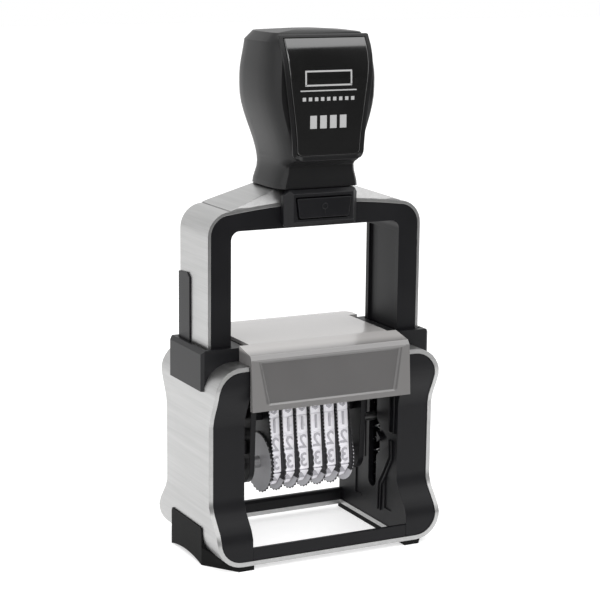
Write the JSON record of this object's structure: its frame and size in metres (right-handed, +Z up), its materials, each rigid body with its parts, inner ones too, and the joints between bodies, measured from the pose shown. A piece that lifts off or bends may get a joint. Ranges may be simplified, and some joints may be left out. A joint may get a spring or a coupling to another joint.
{
  "type": "self-inking number stamp",
  "caption": "Self-inking hand stamp: sprung yoke and knob that flips a text plate with turnable number bands from an ink pad to the paper.",
  "frame": {"origin": "middle of the base, on the surface that it stands on", "axes": "+Z up along the stroke, +X across the frame along the number bank, -Y towards the front"},
  "size_m": [0.0856, 0.0492, 0.1755],
  "materials": {
    "brushed_aluminium": "finely brushed along the depth",
    "black_plastic": "satin moulded",
    "gloss_black": "high gloss",
    "foot_rubber": "matte",
    "smoke_plastic": "smoke grey, slightly translucent",
    "ink_foam": "inked felt",
    "band_rubber": "pale lavender rubber with raised mirrored digits",
    "wheel_plastic": "grey moulded, toothed rim",
    "die_rubber": "laser engraved rubber",
    "steel": "bright drawn"
  },
  "bodies": {
    "base": {"base_strip": "brushed_aluminium", "pillar_left": "black_plastic", "pillar_right": "black_plastic", "front_bar": "black_plastic", "rear_bar": "black_plastic", "collar_left": "black_plastic", "collar_right": "black_plastic", "foot_pad_left": "foot_rubber", "foot_pad_right": "foot_rubber", "pad_cover": "smoke_plastic", "return_spring_left": "steel", "return_spring_right": "steel"},
    "pad_cartridge": {"pad_tray": "smoke_plastic", "ink_pad": "ink_foam"},
    "yoke": {"yoke_strip": "brushed_aluminium", "yoke_frame": "black_plastic", "leg_rail_left": "black_plastic", "leg_rail_right": "black_plastic", "saddle": "brushed_aluminium", "lock_plate": "black_plastic", "knob_body": "black_plastic", "knob_insert": "gloss_black", "knob_screw": "steel", "button_spring": "steel"},
    "lock_button": {"lock_button": "black_plastic"},
    "carrier": {"cheek_left": "black_plastic", "cheek_right": "black_plastic", "text_plate": "black_plastic", "text_die": "die_rubber", "band_anvil": "black_plastic", "wheel_axle": "steel", "pivot_pins": "steel", "guide_pins": "steel", "cheek_screws": "steel", "guard_disc": "wheel_plastic", "number_band_1": "band_rubber", "number_band_2": "band_rubber", "number_band_3": "band_rubber", "number_band_4": "band_rubber", "number_band_5": "band_rubber", "number_band_6": "band_rubber"},
    "wheel_1": {"thumbwheel_1": "wheel_plastic"},
    "wheel_2": {"thumbwheel_2": "wheel_plastic"},
    "wheel_3": {"thumbwheel_3": "wheel_plastic"},
    "wheel_4": {"thumbwheel_4": "wheel_plastic"},
    "wheel_5": {"thumbwheel_5": "wheel_plastic"},
    "wheel_6": {"thumbwheel_6": "wheel_plastic"}
  },
  "joints": [
    {"name": "handle_press", "type": "slide", "parent": "base", "child": "yoke", "axis": [0, 0, -1], "range_m": [0, 0.032], "stiffness_N_per_m": 300, "springref_m": -0.02, "deforming": ["return_spring_left", "return_spring_right"]},
    {"name": "die_flip", "type": "hinge", "parent": "yoke", "child": "carrier", "pos_m": [0, 0, 0.04925], "axis": [-1, 0, 0], "range_deg": [0, 180]},
    {"name": "pad_slide", "type": "slide", "parent": "base", "child": "pad_cartridge", "axis": [0, 1, 0], "range_m": [0, 0.05]},
    {"name": "button_press", "type": "slide", "parent": "yoke", "child": "lock_button", "axis": [0, 1, 0], "range_m": [0, 0.0015], "stiffness_N_per_m": 400, "springref_m": -0.002, "deforming": ["button_spring"]},
    {"name": "wheel_1_turn", "type": "hinge", "parent": "carrier", "child": "wheel_1", "pos_m": [0, 0, 0.029], "axis": [1, 0, 0], "continuous": true},
    {"name": "wheel_2_turn", "type": "hinge", "parent": "carrier", "child": "wheel_2", "pos_m": [0, 0, 0.029], "axis": [1, 0, 0], "continuous": true},
    {"name": "wheel_3_turn", "type": "hinge", "parent": "carrier", "child": "wheel_3", "pos_m": [0, 0, 0.029], "axis": [1, 0, 0], "continuous": true},
    {"name": "wheel_4_turn", "type": "hinge", "parent": "carrier", "child": "wheel_4", "pos_m": [0, 0, 0.029], "axis": [1, 0, 0], "continuous": true},
    {"name": "wheel_5_turn", "type": "hinge", "parent": "carrier", "child": "wheel_5", "pos_m": [0, 0, 0.029], "axis": [1, 0, 0], "continuous": true},
    {"name": "wheel_6_turn", "type": "hinge", "parent": "carrier", "child": "wheel_6", "pos_m": [0, 0, 0.029], "axis": [1, 0, 0], "continuous": true}
  ],
  "couplings": [
    {"joint": "die_flip", "follows": "handle_press", "rad_per_m": 98.17}
  ]
}
